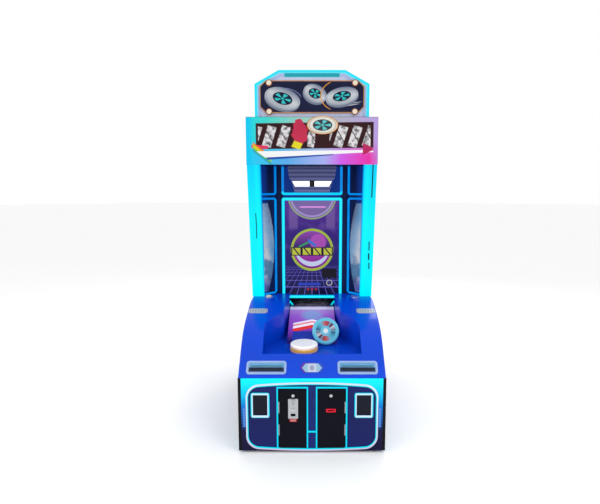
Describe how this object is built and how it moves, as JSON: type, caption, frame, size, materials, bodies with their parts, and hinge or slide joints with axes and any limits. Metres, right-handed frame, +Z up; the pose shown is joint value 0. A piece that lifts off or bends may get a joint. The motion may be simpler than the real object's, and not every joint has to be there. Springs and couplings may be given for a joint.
{
  "type": "disc sliding redemption cabinet",
  "caption": "Tall arcade redemption cabinet with a disc well and lane in a moulded console, an upright screen between lit columns, a light-box header and a topper.",
  "frame": {"origin": "on the floor, at the middle of the overall box", "axes": "+Z up, front towards -Y, +X to the right seen from the front"},
  "size_m": [0.87, 1.45, 2.33],
  "materials": {
    "base_floor": "plain board",
    "foot_front_left": "plated",
    "foot_front_right": "plated",
    "foot_rear_left": "plated",
    "foot_rear_right": "plated",
    "wheel_brackets": "zinc plated",
    "wheel_left": "matt",
    "wheel_right": "matt",
    "base_frame": "black powder coat",
    "side_panel_left": "printed laminate",
    "side_panel_right": "printed laminate",
    "front_panel": "printed laminate",
    "corner_trims": "satin black",
    "outline_light": "lit acrylic",
    "panel_lights": "lit acrylic",
    "window_panes": "dark acrylic",
    "coin_door": "powder coat",
    "ticket_door": "powder coat",
    "door_hinges": "satin",
    "coin_door_lock": "polished",
    "ticket_door_lock": "polished",
    "coin_mech": "brushed",
    "coin_return_button": "polished",
    "ticket_mouth": "red",
    "cash_box": "plain sheet",
    "ticket_dispenser": "moulded",
    "console_shell": "gloss moulding",
    "speaker_grilles": "silver paint",
    "speaker_drivers": "paper cone",
    "emblem_plate": "printed",
    "button_bezels": "plated",
    "start_button_left": "lit",
    "start_button_right": "translucent",
    "lane_ramp": "printed",
    "disc_catcher": "foam faced",
    "slot_light": "lit acrylic",
    "disc_flat": "gloss",
    "disc_flat_band": "soft bumper",
    "disc_leaning": "printed",
    "column_covers": "lit diffuser",
    "column_boards": "painted",
    "screen_surround": "matt",
    "screen_panel": "display",
    "tower_lights": "lit acrylic",
    "wing_panels": "dark laminate",
    "wing_mirrors": "polished",
    "lamp_pod": "satin",
    "lamp_lenses": "lit",
    "header_box": "printed wrap",
    "header_face": "printed translucent",
    "topper_box": "edge lit",
    "topper_panel": "printed",
    "topper_studs": "polished",
    "back_panel": "painted",
    "rear_door": "powder coat",
    "rear_door_lock": "polished",
    "fan_frame": "moulded",
    "fan_rotor": "moulded",
    "power_unit": "plain",
    "computer_case": "plain"
  },
  "bodies": {
    "cabinet": {"base_floor": "base_floor", "wheel_brackets": "wheel_brackets", "base_frame": "base_frame", "side_panel_left": "side_panel_left", "side_panel_right": "side_panel_right", "front_panel": "front_panel", "corner_trims": "corner_trims", "outline_light": "outline_light", "panel_lights": "panel_lights", "window_panes": "window_panes", "door_hinges": "door_hinges", "cash_box": "cash_box", "ticket_dispenser": "ticket_dispenser", "console_shell": "console_shell", "speaker_grilles": "speaker_grilles", "speaker_drivers": "speaker_drivers", "emblem_plate": "emblem_plate", "button_bezels": "button_bezels", "lane_ramp": "lane_ramp", "disc_catcher": "disc_catcher", "slot_light": "slot_light", "column_covers": "column_covers", "column_boards": "column_boards", "screen_surround": "screen_surround", "screen_panel": "screen_panel", "tower_lights": "tower_lights", "wing_panels": "wing_panels", "wing_mirrors": "wing_mirrors", "lamp_pod": "lamp_pod", "lamp_lenses": "lamp_lenses", "header_box": "header_box", "header_face": "header_face", "topper_box": "topper_box", "topper_panel": "topper_panel", "topper_studs": "topper_studs", "back_panel": "back_panel", "fan_frame": "fan_frame", "power_unit": "power_unit", "computer_case": "computer_case"},
    "coin_door": {"coin_door": "coin_door", "coin_mech": "coin_mech"},
    "ticket_door": {"ticket_door": "ticket_door", "ticket_mouth": "ticket_mouth"},
    "disc_flat": {"disc_flat": "disc_flat", "disc_flat_band": "disc_flat_band"},
    "foot_front_left": {"foot_front_left": "foot_front_left"},
    "foot_front_right": {"foot_front_right": "foot_front_right"},
    "foot_rear_left": {"foot_rear_left": "foot_rear_left"},
    "foot_rear_right": {"foot_rear_right": "foot_rear_right"},
    "wheel_left": {"wheel_left": "wheel_left"},
    "wheel_right": {"wheel_right": "wheel_right"},
    "coin_door_lock": {"coin_door_lock": "coin_door_lock"},
    "ticket_door_lock": {"ticket_door_lock": "ticket_door_lock"},
    "coin_return_button": {"coin_return_button": "coin_return_button"},
    "start_button_left": {"start_button_left": "start_button_left"},
    "start_button_right": {"start_button_right": "start_button_right"},
    "rear_door": {"rear_door": "rear_door"},
    "rear_door_lock": {"rear_door_lock": "rear_door_lock"},
    "fan_rotor": {"fan_rotor": "fan_rotor"},
    "disc_leaning": {"disc_leaning": "disc_leaning"}
  },
  "joints": [
    {"name": "foot_front_left_screw", "type": "slide", "parent": "cabinet", "child": "foot_front_left", "axis": [0, 0, -1], "range_m": [0, 0.02]},
    {"name": "foot_front_right_screw", "type": "slide", "parent": "cabinet", "child": "foot_front_right", "axis": [0, 0, -1], "range_m": [0, 0.02]},
    {"name": "foot_rear_left_screw", "type": "slide", "parent": "cabinet", "child": "foot_rear_left", "axis": [0, 0, -1], "range_m": [0, 0.02]},
    {"name": "foot_rear_right_screw", "type": "slide", "parent": "cabinet", "child": "foot_rear_right", "axis": [0, 0, -1], "range_m": [0, 0.02]},
    {"name": "wheel_left_roll", "type": "hinge", "parent": "cabinet", "child": "wheel_left", "pos_m": [-0.285, 0.619, 0.034], "axis": [1, 0, 0], "continuous": true},
    {"name": "wheel_right_roll", "type": "hinge", "parent": "cabinet", "child": "wheel_right", "pos_m": [0.285, 0.619, 0.034], "axis": [1, 0, 0], "continuous": true},
    {"name": "coin_door_hinge", "type": "hinge", "parent": "cabinet", "child": "coin_door", "pos_m": [-0.195, -0.714, 0.218], "axis": [0, 0, -1], "range_deg": [0, 100]},
    {"name": "ticket_door_hinge", "type": "hinge", "parent": "cabinet", "child": "ticket_door", "pos_m": [0.195, -0.714, 0.218], "axis": [0, 0, 1], "range_deg": [0, 100]},
    {"name": "coin_door_lock_turn", "type": "hinge", "parent": "coin_door", "child": "coin_door_lock", "pos_m": [-0.111, -0.709, 0.361], "axis": [0, -1, 0], "range_deg": [0, 90]},
    {"name": "ticket_door_lock_turn", "type": "hinge", "parent": "ticket_door", "child": "ticket_door_lock", "pos_m": [0.111, -0.709, 0.361], "axis": [0, 1, 0], "range_deg": [0, 90]},
    {"name": "coin_return_press", "type": "slide", "parent": "coin_door", "child": "coin_return_button", "axis": [0, 1, 0], "range_m": [0, 0.004], "stiffness_N_per_m": 800, "springref_m": -0.003},
    {"name": "start_button_left_press", "type": "slide", "parent": "cabinet", "child": "start_button_left", "axis": [0, 0, -1], "range_m": [0, 0.004], "stiffness_N_per_m": 1000, "springref_m": -0.003},
    {"name": "start_button_right_press", "type": "slide", "parent": "cabinet", "child": "start_button_right", "axis": [0, 0, -1], "range_m": [0, 0.004], "stiffness_N_per_m": 1000, "springref_m": -0.003},
    {"name": "rear_door_hinge", "type": "hinge", "parent": "cabinet", "child": "rear_door", "pos_m": [-0.266, 0.714, 0.63], "axis": [0, 0, 1], "range_deg": [0, 110]},
    {"name": "rear_door_lock_turn", "type": "hinge", "parent": "rear_door", "child": "rear_door_lock", "pos_m": [0.22, 0.709, 0.7], "axis": [0, -1, 0], "range_deg": [0, 90]},
    {"name": "fan_spin", "type": "hinge", "parent": "cabinet", "child": "fan_rotor", "pos_m": [0, 0.679, 1.32], "axis": [0, 1, 0], "continuous": true},
    {"name": "disc_flat_slide", "type": "slide", "parent": "cabinet", "child": "disc_flat", "axis": [-1, 0, 0], "range_m": [0, 0.15]},
    {"name": "disc_leaning_tip", "type": "hinge", "parent": "cabinet", "child": "disc_leaning", "pos_m": [0.088, -0.39024, 0.5603], "axis": [1, 0, 0], "range_deg": [0, 15]}
  ]
}
